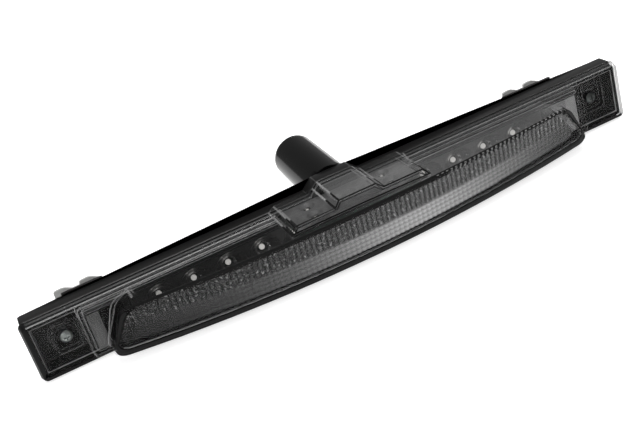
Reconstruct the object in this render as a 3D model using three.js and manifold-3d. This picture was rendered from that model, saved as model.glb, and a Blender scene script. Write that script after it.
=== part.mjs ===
// High-mounted third brake light: a long clear lens with a bowed, ribbed light box and a stepped
// crown, on a black rear housing with a wiring spout and two sprung retaining clips.
//
// Frame, in millimetres: +X along the lamp, +Z up the lens plate, -Y out of the lens and +Y into
// the vehicle. The origin is the middle of the plane where the foam gasket meets the body panel.

import * as THREE from 'three';
import { mergeVertices } from 'three/addons/utils/BufferGeometryUtils.js';
import Module from 'manifold-3d';

const wasm = await Module();
wasm.setup();

// ---------------------------------------------------------------- driving dimensions

const LENGTH = 434;
const HEIGHT = 42;
const CORNER = 3;
const GAP = 0.3;

const GASKET = 2;
const HOUSING_DEPTH = 10.4;
const SKIRT_DEPTH = 6.5;
const PEDESTAL_DEPTH = 5;
const PEDESTAL_X = 182;
const PEDESTAL_LOW = -16.8;
const LENS_WALL = 2.4;
const NEST_WALL = 2.6;
const OVERHANG = 1.6;

const CROWN_SIDE_Z = 24;
const CROWN_TOP_Z = 27.5;
const CROWN_SIDE_X = 45;
const CROWN_TOP_X = 13;
const CROWN_SLOPE = 4;
const CROWN_FRONT = 7;
const CROWN_LEAN = 0.4;

const SHELF_Z = 19.6;
const CREST_REACH = 40.3;
const FRONT_LEAN = 0.18;
const CREST_DROP = 2;
const BOW = 0.36;
const BOW_SPAN = 150;
const BOX_SILL_X = 168.5;
const BOX_CREST_X = 147;
const SILL_END_Z = -15.4;
const SILL_MIDDLE_Z = -17.6;
const BORDER = 4.2;
const BORDER_TOP = 15.2;
const BORDER_END = 1;
const BORDER_SILL_TOP = -10;
const BORDER_SILL_BACK = -27.8;
const BORDER_END_BACK = -39.5;

const CUP_COUNT = 12;
const CUP_PITCH = 23.9;
const CUP_RADIUS = 11.6;
const CUP_Z = 0;

const BOARD_SCREWS = [-148, -47.8, 47.8, 148];
const SCREW_X = 193;
const SCREW_Z = 2;
const WELL = 19;

const SPOUT_LENGTH = 66;
const SPOUT_ROOT_R = 16.6;
const SPOUT_END_R = 15.6;
const SPOUT_WALL = 2.2;
const SPOUT_Z = 12;
const SPOUT_TILT = THREE.MathUtils.degToRad(3);
const STUB_LENGTH = 11;

const TABS = [[-186, -158], [145, 185]];
const CLIP_PLACES = [-175, 162];
const CLIP_WIDTH = 30.4;

// Planes across the depth, from the panel outwards.
const Y_BACK = -GASKET;
const Y_RIM = Y_BACK - HOUSING_DEPTH;
const Y_EDGE = Y_RIM - 1.6;
const Y_FACE = Y_EDGE - SKIRT_DEPTH;
const Y_NEST = Y_FACE + LENS_WALL + 0.4;
const NEST_INSET = LENS_WALL + GAP;

// ---------------------------------------------------------------- finishes

const FINISH = {
  clear: { color: 0xb9c0c4, roughness: 0.05, metalness: 0 },
  black: { color: 0x0b0b0c, roughness: 0.22, metalness: 0 },
  rubber: { color: 0x17181a, roughness: 0.75, metalness: 0 },
  chrome: { color: 0xd9dcdf, roughness: 0.12, metalness: 1 },
  zinc: { color: 0xb9bfae, roughness: 0.35, metalness: 1 },
  grey: { color: 0xc9cac8, roughness: 0.5, metalness: 0 },
  board: { color: 0x1f4a33, roughness: 0.55, metalness: 0 },
  led: { color: 0xe9e2cf, roughness: 0.3, metalness: 0 },
  chip: { color: 0x202124, roughness: 0.5, metalness: 0 },
  tin: { color: 0xc4c6c8, roughness: 0.3, metalness: 1 },
};

// ---------------------------------------------------------------- solids

/** A manifold solid from a closed three.js geometry. */
function solid(geometry) {
  const bare = geometry.index ? geometry.toNonIndexed() : geometry.clone();
  bare.deleteAttribute('normal');
  bare.deleteAttribute('uv');
  const merged = mergeVertices(bare, 1e-4);
  return new wasm.Manifold(new wasm.Mesh({
    numProp: 3,
    vertProperties: merged.attributes.position.array,
    triVerts: new Uint32Array(merged.index.array),
  }));
}

/** A three.js geometry from a manifold solid. */
function geometryOf(body) {
  const mesh = body.getMesh();
  const geometry = new THREE.BufferGeometry();
  geometry.setAttribute('position', new THREE.BufferAttribute(mesh.vertProperties, 3));
  geometry.setIndex(new THREE.BufferAttribute(mesh.triVerts, 1));
  geometry.computeVertexNormals();
  return geometry;
}

/** Move every vertex of a geometry by a function of its place. */
function reshape(geometry, move) {
  const position = geometry.attributes.position;
  const point = new THREE.Vector3();
  for (let i = 0; i < position.count; i += 1) {
    point.fromBufferAttribute(position, i);
    move(point);
    position.setXYZ(i, point.x, point.y, point.z);
  }
  return geometry;
}

/** Outline in X and Z, given as a shape, extruded from yBack forwards to yFront. */
function frontPrism(shape, yBack, yFront, curveSegments = 6) {
  const depth = yBack - yFront;
  const geometry = new THREE.ExtrudeGeometry(shape, { depth, bevelEnabled: false, curveSegments });
  return geometry.rotateX(Math.PI / 2).translate(0, yBack, 0);
}

/** Section in Y and Z, given as points, extruded along X between two places. */
function sidePrism(points, xFrom, xTo, steps = 1) {
  const shape = new THREE.Shape(points.map(([y, z]) => new THREE.Vector2(y, z)));
  const geometry = new THREE.ExtrudeGeometry(shape, { depth: xTo - xFrom, bevelEnabled: false, steps });
  const turn = new THREE.Matrix4().makeBasis(
    new THREE.Vector3(0, 1, 0),
    new THREE.Vector3(0, 0, 1),
    new THREE.Vector3(1, 0, 0),
  );
  return geometry.applyMatrix4(turn).translate(xFrom, 0, 0);
}

/** Box between two corners. */
function box(low, high) {
  const size = high.map((value, axis) => value - low[axis]);
  const middle = high.map((value, axis) => (value + low[axis]) / 2);
  return new THREE.BoxGeometry(...size).translate(...middle);
}

/** Cylinder along Y between two planes. */
function rod(radius, yFrom, yTo, x = 0, z = 0, sides = 20, radiusTo = radius) {
  const geometry = new THREE.CylinderGeometry(radiusTo, radius, yTo - yFrom, sides);
  return geometry.translate(x, (yFrom + yTo) / 2, z);
}

/** Rectangle with rounded corners, in X and Z. */
function roundedRectangle(width, height, radius, x = 0, z = 0) {
  const shape = new THREE.Shape();
  const right = x + width / 2;
  const left = x - width / 2;
  const top = z + height / 2;
  const bottom = z - height / 2;
  shape.moveTo(left + radius, bottom);
  shape.lineTo(right - radius, bottom);
  shape.absarc(right - radius, bottom + radius, radius, -Math.PI / 2, 0);
  shape.lineTo(right, top - radius);
  shape.absarc(right - radius, top - radius, radius, 0, Math.PI / 2);
  shape.lineTo(left + radius, top);
  shape.absarc(left + radius, top - radius, radius, Math.PI / 2, Math.PI);
  shape.lineTo(left, bottom + radius);
  shape.absarc(left + radius, bottom + radius, radius, Math.PI, Math.PI * 1.5);
  return shape;
}

// ---------------------------------------------------------------- outlines shared by the parts

/** Front outline of the lamp: a long rounded plate with a centre hump and, on the lens, side steps. */
function lampOutline(inset, stepped = true) {
  const right = LENGTH / 2 - inset;
  const top = HEIGHT / 2 - inset;
  const radius = Math.max(CORNER - inset * 0.5, 1);
  const sideX = CROWN_SIDE_X - inset;
  const topX = CROWN_TOP_X - inset * 0.4;
  const shape = new THREE.Shape();
  shape.moveTo(-right + radius, -top);
  shape.lineTo(right - radius, -top);
  shape.absarc(right - radius, -top + radius, radius, -Math.PI / 2, 0);
  shape.lineTo(right, top - radius);
  shape.absarc(right - radius, top - radius, radius, 0, Math.PI / 2);
  if (stepped) {
    shape.lineTo(sideX + CROWN_SLOPE, top);
    shape.lineTo(sideX, CROWN_SIDE_Z - inset);
    shape.lineTo(topX + CROWN_SLOPE, CROWN_SIDE_Z - inset);
  } else {
    shape.lineTo(topX + 1.9 * CROWN_SLOPE, top);
  }
  shape.lineTo(topX, CROWN_TOP_Z - inset);
  shape.lineTo(-topX, CROWN_TOP_Z - inset);
  if (stepped) {
    shape.lineTo(-topX - CROWN_SLOPE, CROWN_SIDE_Z - inset);
    shape.lineTo(-sideX, CROWN_SIDE_Z - inset);
    shape.lineTo(-sideX - CROWN_SLOPE, top);
  } else {
    shape.lineTo(-topX - 1.9 * CROWN_SLOPE, top);
  }
  shape.lineTo(-right + radius, top);
  shape.absarc(-right + radius, top - radius, radius, Math.PI / 2, Math.PI);
  shape.lineTo(-right, -top + radius);
  shape.absarc(-right + radius, -top + radius, radius, Math.PI, Math.PI * 1.5);
  return shape;
}

/** Front outline of the light box: bowed sill, leaning ends, rounded corners and shoulders. */
function boxOutline(inset, topZ = SHELF_Z + 4, endInset = inset) {
  const sillX = BOX_SILL_X - endInset;
  const crestX = BOX_CREST_X - endInset;
  const endZ = SILL_END_Z + inset;
  const middleZ = SILL_MIDDLE_Z + inset;
  const shoulderZ = SHELF_Z - CREST_DROP - endInset;
  const corner = 6;
  const shape = new THREE.Shape();
  shape.moveTo(-sillX + corner, endZ);
  shape.quadraticCurveTo(0, 2 * middleZ - endZ, sillX - corner, endZ);
  shape.quadraticCurveTo(sillX + 0.5, endZ + 1, sillX, endZ + corner);
  shape.lineTo(crestX + 13.5, shoulderZ - 8);
  shape.quadraticCurveTo(crestX + 10.5, shoulderZ - 0.6, crestX, shoulderZ + endInset * 0.5);
  shape.lineTo(crestX, topZ);
  shape.lineTo(-crestX, topZ);
  shape.lineTo(-crestX, shoulderZ + endInset * 0.5);
  shape.quadraticCurveTo(-crestX - 10.5, shoulderZ - 0.6, -crestX - 13.5, shoulderZ - 8);
  shape.lineTo(-sillX, endZ + corner);
  shape.quadraticCurveTo(-sillX - 0.5, endZ + 1, -sillX + corner, endZ);
  return shape;
}

/** Pull a straight section back and down towards the ends, as the light box is bowed. */
function bow(point) {
  if (point.y < Y_FACE) {
    const away = (point.x / BOW_SPAN) ** 2;
    const depth = (Y_FACE - point.y) / CREST_REACH;
    point.z -= CREST_DROP * away * depth;
    point.y = Y_FACE + (point.y - Y_FACE) * (1 - BOW * away);
  }
}

/** Light box as a solid: a bowed section trimmed by its front outline. */
function lightBox(inset) {
  const front = Y_FACE - CREST_REACH + inset;
  const top = SHELF_Z - inset;
  const low = SILL_MIDDLE_Z - 6;
  const section = [
    [Y_EDGE + 1, top],
    [Y_EDGE + 1, low],
    [front + FRONT_LEAN * (top - low), low],
    [front + FRONT_LEAN * 1.4, top - 1.4],
    [front + 1, top],
    [Y_FACE, top],
  ];
  const swept = solid(reshape(sidePrism(section, -180, 180, 24), bow));
  const yFront = Y_FACE - CREST_REACH - 2;
  const outline = reshape(frontPrism(boxOutline(inset), Y_EDGE + 1.5, yFront, 10), (point) => {
    const share = (point.y - yFront) / (Y_EDGE - yFront);
    point.x *= 1 + 0.024 * share;
  });
  return swept.intersect(solid(outline));
}

/** Raised pedestal between the end windows, which the light box stands on. */
function pedestal(inset) {
  const height = SHELF_Z - PEDESTAL_LOW - 2 * inset;
  const middle = (SHELF_Z + PEDESTAL_LOW) / 2;
  const outline = roundedRectangle(2 * (PEDESTAL_X - inset), height, 2.5, 0, middle);
  return solid(frontPrism(outline, Y_EDGE + 1, Y_FACE - PEDESTAL_DEPTH + inset, 4));
}

/** Stepped crown as a solid: side blocks and a higher centre block, walls leaning in. */
function crown(inset) {
  const shape = new THREE.Shape();
  const sideX = CROWN_SIDE_X - inset;
  const topX = CROWN_TOP_X - inset * 0.4;
  const sideZ = CROWN_SIDE_Z - inset;
  const base = 9;
  shape.moveTo(-sideX - CROWN_SLOPE, base);
  shape.lineTo(sideX + CROWN_SLOPE, base);
  shape.lineTo(sideX + CROWN_SLOPE, SHELF_Z - 1);
  shape.lineTo(sideX, sideZ);
  shape.lineTo(topX + CROWN_SLOPE, sideZ);
  shape.lineTo(topX, CROWN_TOP_Z - inset);
  shape.lineTo(-topX, CROWN_TOP_Z - inset);
  shape.lineTo(-topX - CROWN_SLOPE, sideZ);
  shape.lineTo(-sideX, sideZ);
  shape.lineTo(-sideX - CROWN_SLOPE, SHELF_Z - 1);
  const yFront = Y_FACE - CREST_REACH + CROWN_FRONT + inset;
  return reshape(frontPrism(shape, Y_EDGE - inset, yFront), (point) => {
    if (point.y < Y_FACE) {
      point.y += CROWN_LEAN * Math.max(point.z - SHELF_Z, 0);
    }
  });
}

// ---------------------------------------------------------------- lens and trim

/** Plate of the lens, its skirt drawn in towards the front. */
function lensPlate() {
  const plate = frontPrism(lampOutline(0), Y_EDGE, Y_FACE);
  return reshape(plate, (point) => {
    if (point.y < Y_EDGE - 1) {
      point.x *= 1 - OVERHANG / (LENGTH / 2);
      point.z *= 1 - 1.3 / (HEIGHT / 2);
    }
  });
}

/** Whole clear shell before the black border is parted from it. */
function lensShell() {
  const outer = solid(lensPlate()).add(pedestal(0)).add(lightBox(0)).add(solid(crown(0)));
  const cavity = solid(frontPrism(lampOutline(LENS_WALL, false), Y_EDGE + 1, Y_FACE + LENS_WALL));
  let inner = cavity.add(pedestal(LENS_WALL)).add(lightBox(LENS_WALL)).add(solid(crown(LENS_WALL)));
  const below = solid(box([-250, Y_EDGE + 0.001, -60], [250, Y_EDGE + 20, 60]));
  for (const side of [-1, 1]) {
    const well = roundedRectangle(WELL, WELL, 4, side * SCREW_X, SCREW_Z);
    inner = inner.subtract(solid(frontPrism(well, Y_EDGE + 2, Y_FACE - 1)));
  }
  let shell = outer.subtract(inner).subtract(below);
  for (const side of [-1, 1]) {
    const recess = roundedRectangle(WELL - 3.6, WELL - 3.6, 2.6, side * SCREW_X, SCREW_Z);
    shell = shell.subtract(solid(frontPrism(recess, Y_EDGE - 2.2, Y_FACE - 2)));
    shell = shell.subtract(solid(rod(2.7, Y_FACE, Y_EDGE + 3, side * SCREW_X, SCREW_Z, 16)));
  }
  return shell;
}

/** Region of the black border: the whole sill, and a strip round the front of the ends. */
function borderRegion(gap) {
  const sill = solid(box([-240, -90, -60], [240, BORDER_SILL_BACK + gap, BORDER_SILL_TOP + gap]));
  const ends = solid(box([-240, -90, -60], [240, BORDER_END_BACK + gap, BORDER_TOP + gap]));
  const opening = boxOutline(BORDER + gap, 70, BORDER_END + gap);
  const window = solid(frontPrism(opening, BORDER_SILL_BACK + 2, -92, 10));
  return sill.add(ends).subtract(window);
}

const shell = lensShell();

function outerLens() {
  return geometryOf(shell.subtract(borderRegion(GAP)));
}

function lowerBorder() {
  return geometryOf(shell.intersect(borderRegion(0)));
}

/** Ribbed inner optic, a bowed sheet just behind the front of the light box. */
function prismLens() {
  const front = Y_FACE - CREST_REACH + LENS_WALL + 3;
  const top = SHELF_Z - LENS_WALL - 1.2;
  const low = SILL_MIDDLE_Z - 2;
  const lean = FRONT_LEAN * (top - low);
  const section = [
    [front, top],
    [front + 2.2, top],
    [front + 2.2 + lean, low],
    [front + lean, low],
  ];
  const sheet = solid(reshape(sidePrism(section, -170, 170, 24), bow));
  const outline = solid(frontPrism(boxOutline(LENS_WALL + 1.6, 70, LENS_WALL + 0.7), Y_FACE, -80, 10));
  return geometryOf(sheet.intersect(outline));
}

/** Black strip that hides the gap above the reflector, seen through the plate. */
function innerBezel() {
  const strips = [];
  for (const side of [-1, 1]) {
    const inner = CROWN_SIDE_X + CROWN_SLOPE - 2;
    const ends = [side * inner, side * (PEDESTAL_X - 3)].sort((a, b) => a - b);
    strips.push(solid(box([ends[0], Y_FACE - PEDESTAL_DEPTH + 3, 12.6], [ends[1], Y_EDGE - 0.6, 15.3])));
  }
  const bridge = solid(box([-50, Y_EDGE - 3, 11.4], [50, Y_EDGE - 0.6, 14.4]));
  return geometryOf(strips[0].add(strips[1]).add(bridge));
}

// ---------------------------------------------------------------- light unit

function cupX(index) {
  return (index - (CUP_COUNT - 1) / 2) * CUP_PITCH;
}

/** Bowl that a reflector cup is hollowed with: a parabola turned about Y. */
function bowl(radius, depth, yFloor, x, z, sides = 14) {
  const points = [new THREE.Vector2(0, 0)];
  for (const share of [0.4, 0.75, 1]) {
    points.push(new THREE.Vector2(radius * share, depth * share * share));
  }
  points.push(new THREE.Vector2(radius, depth + 2));
  points.push(new THREE.Vector2(0, depth + 2));
  return new THREE.LatheGeometry(points, sides).rotateX(Math.PI).translate(x, yFloor, z);
}

/** Metallised reflector: a flanged block with a row of cups open to the front and top. */
function mainReflector() {
  const yBack = Y_EDGE + 3;
  const yFront = Y_EDGE - 8;
  let body = solid(box([-148, yFront, -13], [148, yBack, 10.6]));
  body = body.add(solid(box([-178, yFront, -13.6], [178, yFront + 1.6, 11.6])));
  for (let i = 0; i < CUP_COUNT; i += 1) {
    body = body.subtract(solid(bowl(CUP_RADIUS, 9.6, yBack - 1.6, cupX(i), CUP_Z)));
    body = body.subtract(solid(rod(3.2, yBack - 6, yBack + 1, cupX(i), CUP_Z, 8)));
  }
  return geometryOf(body);
}

const CROWN_LEDS = [
  [-27, -11], [-27, -25], [-7, -18], [7, -18], [27, -25], [27, -11],
];

/** Small reflector tray under the crown, with a shallow dish for each emitter. */
function crownReflector() {
  let tray = solid(box([-43, Y_EDGE - 34, 16.4], [43, Y_EDGE - 4.2, 19.4]));
  for (const [x, y] of CROWN_LEDS) {
    const dish = new THREE.LatheGeometry([
      new THREE.Vector2(0, 17.4),
      new THREE.Vector2(3.4, 17.4),
      new THREE.Vector2(6.4, 20.4),
      new THREE.Vector2(0, 20.4),
    ], 16);
    tray = tray.subtract(solid(dish.rotateX(Math.PI / 2).translate(x, Y_EDGE + y, 0)));
    tray = tray.subtract(solid(box([x - 2.6, Y_EDGE + y - 2.4, 15], [x + 2.6, Y_EDGE + y + 2.4, 18])));
  }
  return geometryOf(tray);
}

function mainBoard() {
  let board = solid(box([-152, Y_EDGE + 4.7, -11], [152, Y_EDGE + 6.3, 11.4]));
  for (const x of BOARD_SCREWS) {
    board = board.subtract(solid(rod(1.7, Y_EDGE + 4, Y_EDGE + 7, x, -8, 12)));
  }
  return geometryOf(board);
}

function crownBoard() {
  return box([-42, Y_EDGE - 33, 12.2], [42, Y_EDGE - 6.5, 13.8]);
}

/** Surface-mounted emitter: a square body with a sloped top, looking along +Z. */
function emitter(size, height) {
  const half = size / 2;
  const points = [
    new THREE.Vector2(0, 0),
    new THREE.Vector2(half * 1.3, 0),
    new THREE.Vector2(half * 1.3, height * 0.7),
    new THREE.Vector2(half * 1.05, height),
    new THREE.Vector2(0, height),
  ];
  return new THREE.LatheGeometry(points, 4).rotateY(Math.PI / 4).rotateX(Math.PI / 2);
}

/** Machine or tapping screw along +Y: pan head with a cross recess, plain shank, blunt tip. */
function panScrew(headRadius, headHeight, shankRadius, length) {
  const points = [
    new THREE.Vector2(0, 0),
    new THREE.Vector2(headRadius * 0.55, 0),
    new THREE.Vector2(headRadius * 0.88, headHeight * 0.28),
    new THREE.Vector2(headRadius, headHeight * 0.62),
    new THREE.Vector2(headRadius, headHeight),
    new THREE.Vector2(shankRadius, headHeight),
    new THREE.Vector2(shankRadius, headHeight + length - shankRadius),
    new THREE.Vector2(shankRadius * 0.4, headHeight + length),
    new THREE.Vector2(0, headHeight + length),
  ];
  const body = solid(new THREE.LatheGeometry(points, 14));
  const arm = headRadius * 0.5;
  const slot = headRadius * 0.13;
  const deep = headHeight * 0.6;
  const cross = solid(box([-arm, -1, -slot], [arm, deep, slot]))
    .add(solid(box([-slot, -1, -arm], [slot, deep, arm])));
  return geometryOf(body.subtract(cross));
}

// ---------------------------------------------------------------- housing, spout and clips

/** The spout's own frame: its root on the back wall, leaning up along its axis. */
function leanSpout(geometry) {
  return geometry.rotateX(SPOUT_TILT).translate(0, Y_BACK, SPOUT_Z);
}

/** Short tube on the back wall that the spout is pushed over. */
function spoutStub() {
  const reach = SPOUT_ROOT_R - SPOUT_WALL - GAP;
  return solid(leanSpout(rod(reach, -1.5, STUB_LENGTH, 0, 0, 32)));
}

/** Black tray nested inside the lens, with a hump, screw posts, clip tabs and the spout's stub. */
function rearHousing() {
  const outer = solid(frontPrism(lampOutline(OVERHANG * 0.5, false), Y_BACK, Y_RIM));
  const inner = solid(frontPrism(lampOutline(NEST_INSET + NEST_WALL, false), Y_BACK - 2.4, Y_NEST - 1));
  const sides = [LENGTH / 2 - OVERHANG, HEIGHT / 2 - OVERHANG];
  const trimmed = solid(box([-sides[0], Y_RIM - 2, -sides[1]], [sides[0], Y_BACK + 1, 60]));
  const nest = solid(frontPrism(lampOutline(NEST_INSET, false), Y_RIM + 1, Y_NEST));
  let tray = outer.intersect(trimmed).add(nest).subtract(inner);
  for (const side of [-1, 1]) {
    const x = side * SCREW_X;
    tray = tray.add(solid(rod(6, Y_RIM + 0.6, Y_BACK - 1, x, SCREW_Z, 20)));
    tray = tray.subtract(solid(rod(2.7, Y_RIM - 3, Y_BACK + 3, x, SCREW_Z, 16)));
  }
  for (const [from, to] of TABS) {
    tray = tray.add(clipTab(from, to));
  }
  for (const x of BOARD_SCREWS) {
    tray = tray.add(solid(rod(3, Y_EDGE + 6.6, Y_BACK - 1, x, -8, 14)));
    tray = tray.subtract(solid(rod(1.35, Y_EDGE + 5, Y_BACK - 1, x, -8, 12)));
  }
  const bore = rod(SPOUT_ROOT_R - SPOUT_WALL - GAP - 2, -8, STUB_LENGTH + 4, 0, 0, 32);
  tray = tray.add(spoutStub()).subtract(solid(leanSpout(bore)));
  for (const x of [-90, 90]) {
    tray = tray.subtract(solid(rod(4.3, Y_BACK - 4, Y_BACK + 1, x, 0, 20)));
  }
  return geometryOf(tray);
}

/** Tab behind the back wall that carries a clip: a shelf with an upturned lip. */
function clipTab(from, to) {
  const section = [
    [Y_BACK - 1, 7.8],
    [19.4, 7.8],
    [19.4, 12.8],
    [17.2, 12.8],
    [17.2, 10.4],
    [Y_BACK - 1, 10.4],
  ];
  return solid(sidePrism(section, from, to));
}

/** Spring clip: a foot under the tab and an upright with two fin-shaped ears behind its lip. */
function springClip() {
  const half = CLIP_WIDTH / 2;
  const foot = solid(box([-half + 5, 3.2, 5.4], [half - 5, 21.9, 7.2]));
  const upright = new THREE.Shape();
  upright.moveTo(-half, 5.4);
  upright.lineTo(half, 5.4);
  upright.lineTo(half, 11.6);
  for (const ear of [half - 13, -half]) {
    upright.lineTo(ear + 12.6, 12.2);
    upright.lineTo(ear + 8, 14.5);
    upright.quadraticCurveTo(ear + 7, 15, ear + 5, 15);
    upright.lineTo(ear + 2, 14.8);
    upright.quadraticCurveTo(ear, 14.6, ear, 13);
    upright.lineTo(ear, 12.2);
  }
  return foot.add(solid(frontPrism(upright, 22, 20, 4)));
}

/** Tapered tube for the wiring, pushed over the stub and squared off against the back wall. */
function wiringSpout() {
  const points = [
    new THREE.Vector2(SPOUT_ROOT_R - SPOUT_WALL, -3),
    new THREE.Vector2(SPOUT_ROOT_R, -3),
    new THREE.Vector2(SPOUT_END_R, SPOUT_LENGTH - 1.5),
    new THREE.Vector2(SPOUT_END_R - 0.8, SPOUT_LENGTH),
    new THREE.Vector2(SPOUT_END_R - SPOUT_WALL, SPOUT_LENGTH),
    new THREE.Vector2(SPOUT_ROOT_R - SPOUT_WALL, STUB_LENGTH + 4),
    new THREE.Vector2(SPOUT_ROOT_R - SPOUT_WALL, -3),
  ];
  const tube = solid(leanSpout(new THREE.LatheGeometry(points, 32)));
  return geometryOf(tube.subtract(solid(box([-30, -20, -30], [30, Y_BACK + GAP, 50]))));
}

/** Connector body held across the spout, with a cavity for the plug and its terminals. */
function connectorBody() {
  const outline = new THREE.CylinderGeometry(12.6, 12.6, 20, 24).translate(0, 34, 0);
  const cavity = box([-8, 29, -5], [8, 60, 5]);
  let body = solid(outline).subtract(solid(cavity));
  for (const x of [-5, 0, 5]) {
    body = body.subtract(solid(box([x - 0.75, 20, -0.75], [x + 0.75, 32, 0.75])));
  }
  return leanSpout(geometryOf(body));
}

function terminalPin(x) {
  return leanSpout(box([x - 0.45, 21, -0.45], [x + 0.45, 38, 0.45]));
}

// ---------------------------------------------------------------- seals and vent

function ring(outerInset, innerInset, yBack, yFront) {
  const outer = solid(frontPrism(lampOutline(outerInset, false), yBack, yFront));
  return outer.subtract(solid(frontPrism(lampOutline(innerInset, false), yBack + 1, yFront - 1)));
}

function lensSeal() {
  return geometryOf(ring(OVERHANG + 0.4, NEST_INSET - GAP, Y_RIM - GAP, Y_EDGE + GAP));
}

/** Foam gasket on the back wall, cut round the clip tabs and the spout. */
function panelGasket() {
  const inside = roundedRectangle(LENGTH - 8, HEIGHT - 8, 3);
  const hole = roundedRectangle(LENGTH - 24, HEIGHT - 22, 3);
  const around = solid(rod(SPOUT_ROOT_R + 7, Y_BACK + GAP, 0, 0, SPOUT_Z, 32));
  const under = solid(box([-30, Y_BACK, -20], [30, 1, CROWN_TOP_Z - 2.5]));
  let body = solid(frontPrism(inside, 0, Y_BACK + GAP));
  body = body.subtract(solid(frontPrism(hole, 1, Y_BACK)));
  body = body.add(around.intersect(under));
  body = body.subtract(solid(leanSpout(rod(SPOUT_ROOT_R + 1, -8, 12, 0, 0, 32))));
  for (const [from, to] of TABS) {
    body = body.subtract(solid(box([from - 0.5, -3, 0], [to + 0.5, 1, 11])));
  }
  return geometryOf(body);
}

function ventCap() {
  const points = [
    new THREE.Vector2(0, -1.4),
    new THREE.Vector2(3.9, -1.4),
    new THREE.Vector2(3.9, GAP),
    new THREE.Vector2(6, GAP),
    new THREE.Vector2(6, 1.4),
    new THREE.Vector2(5, 2),
    new THREE.Vector2(0, 2),
  ];
  return new THREE.LatheGeometry(points, 14);
}

// ---------------------------------------------------------------- assembly

const lamp = new THREE.Group();

function place(name, geometry, finish, position = [0, 0, 0], parent = lamp) {
  const material = new THREE.MeshStandardMaterial(FINISH[finish]);
  const mesh = new THREE.Mesh(geometry, material);
  mesh.name = name;
  mesh.position.set(...position);
  parent.add(mesh);
  return mesh;
}

place('rear_housing', rearHousing(), 'black');
place('outer_lens', outerLens(), 'clear');
place('lower_border', lowerBorder(), 'black');
place('prism_lens', prismLens(), 'clear');
place('inner_bezel', innerBezel(), 'black');
place('main_reflector', mainReflector(), 'chrome');
place('crown_reflector', crownReflector(), 'chrome');
place('lens_seal', lensSeal(), 'rubber');
place('panel_gasket', panelGasket(), 'rubber');
place('wiring_spout', wiringSpout(), 'black');
place('connector_body', connectorBody(), 'black');
[-5, 0, 5].forEach((x, i) => place(`terminal_pin_${i + 1}`, terminalPin(x), 'tin'));
place('vent_cap_left', ventCap(), 'rubber', [-90, Y_BACK, 0]);
place('vent_cap_right', ventCap(), 'rubber', [90, Y_BACK, 0]);

place('main_board', mainBoard(), 'board');
for (let i = 0; i < CUP_COUNT; i += 1) {
  const name = `led_${String(i + 1).padStart(2, '0')}`;
  const geometry = emitter(3.4, 2.4).rotateX(Math.PI / 2);
  place(name, geometry, 'led', [cupX(i), Y_EDGE + 4.7 - GAP, CUP_Z]);
}
place('crown_board', crownBoard(), 'board');
CROWN_LEDS.forEach(([x, y], i) => {
  place(`crown_led_${i + 1}`, emitter(3, 2.2), 'led', [x, Y_EDGE + y, 13.8 + GAP]);
});

[-110, -70, 70, 110].forEach((x, i) => {
  const geometry = box([-3.2, 0, -1.6], [3.2, 1.1, 1.6]);
  place(`resistor_${i + 1}`, geometry, 'chip', [x, Y_EDGE + 6.3 + GAP, -4]);
});
place('driver_chip', box([-3, 0, -2.5], [3, 1.6, 2.5]), 'chip', [-30, Y_EDGE + 6.3 + GAP, 4]);
place('input_diode', box([-2.3, 0, -1.4], [2.3, 1.8, 1.4]), 'chip', [30, Y_EDGE + 6.3 + GAP, 4]);
BOARD_SCREWS.forEach((x, i) => {
  const geometry = panScrew(2.5, 1.2, 1.1, 3.6);
  place(`board_screw_${i + 1}`, geometry, 'zinc', [x, Y_EDGE + 4.7 - 1.2 - GAP, -8]);
});

for (const [i, word] of ['left', 'right'].entries()) {
  const side = 2 * i - 1;
  const screw = panScrew(4, 2.8, 2, 29);
  place(`mounting_screw_${word}`, screw, 'zinc', [side * SCREW_X, Y_EDGE - 2.2 - 2.8 - GAP, SCREW_Z]);
  place(`spring_clip_${word}`, geometryOf(springClip()), 'grey', [CLIP_PLACES[i], 0, 0]);
}

export default lamp;
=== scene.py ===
"""Third brake light: finishes, fine detail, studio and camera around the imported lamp."""

import logging
import math
from dataclasses import dataclass, field
from enum import Enum
from typing import Any, Optional

import bmesh
import bpy
from mathutils import Matrix, Vector


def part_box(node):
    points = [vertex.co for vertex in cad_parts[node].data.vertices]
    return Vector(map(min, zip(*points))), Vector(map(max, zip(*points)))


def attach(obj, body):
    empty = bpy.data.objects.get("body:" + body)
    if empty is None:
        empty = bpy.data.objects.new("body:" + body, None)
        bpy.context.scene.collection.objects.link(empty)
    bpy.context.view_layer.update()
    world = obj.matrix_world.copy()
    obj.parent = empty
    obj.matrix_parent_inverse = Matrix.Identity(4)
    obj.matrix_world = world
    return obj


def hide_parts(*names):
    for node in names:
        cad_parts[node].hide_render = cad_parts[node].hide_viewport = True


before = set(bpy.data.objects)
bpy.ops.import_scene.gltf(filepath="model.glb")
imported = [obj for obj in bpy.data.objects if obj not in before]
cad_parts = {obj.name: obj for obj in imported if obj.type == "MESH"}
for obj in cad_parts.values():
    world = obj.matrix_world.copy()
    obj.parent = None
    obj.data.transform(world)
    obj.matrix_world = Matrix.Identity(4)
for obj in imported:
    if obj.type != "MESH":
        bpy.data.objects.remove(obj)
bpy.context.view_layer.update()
LOG = logging.getLogger("third_brake_light")
MM = 0.001


class Body(Enum):
    """The bodies of the lamp."""

    LAMP = "lamp"
    CLIP_LEFT = "clip_left"
    CLIP_RIGHT = "clip_right"


class Slot(Enum):
    """Names of material slots."""

    CLEAR = "clear_lens"
    PRISM = "prism"
    BLACK = "black_plastic"
    RUBBER = "rubber"
    REFLECTOR = "reflector"
    EMITTER = "emitter"
    ZINC = "zinc"
    CLIP = "clip"


# ---------------------------------------------------------------- node graphs


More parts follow.
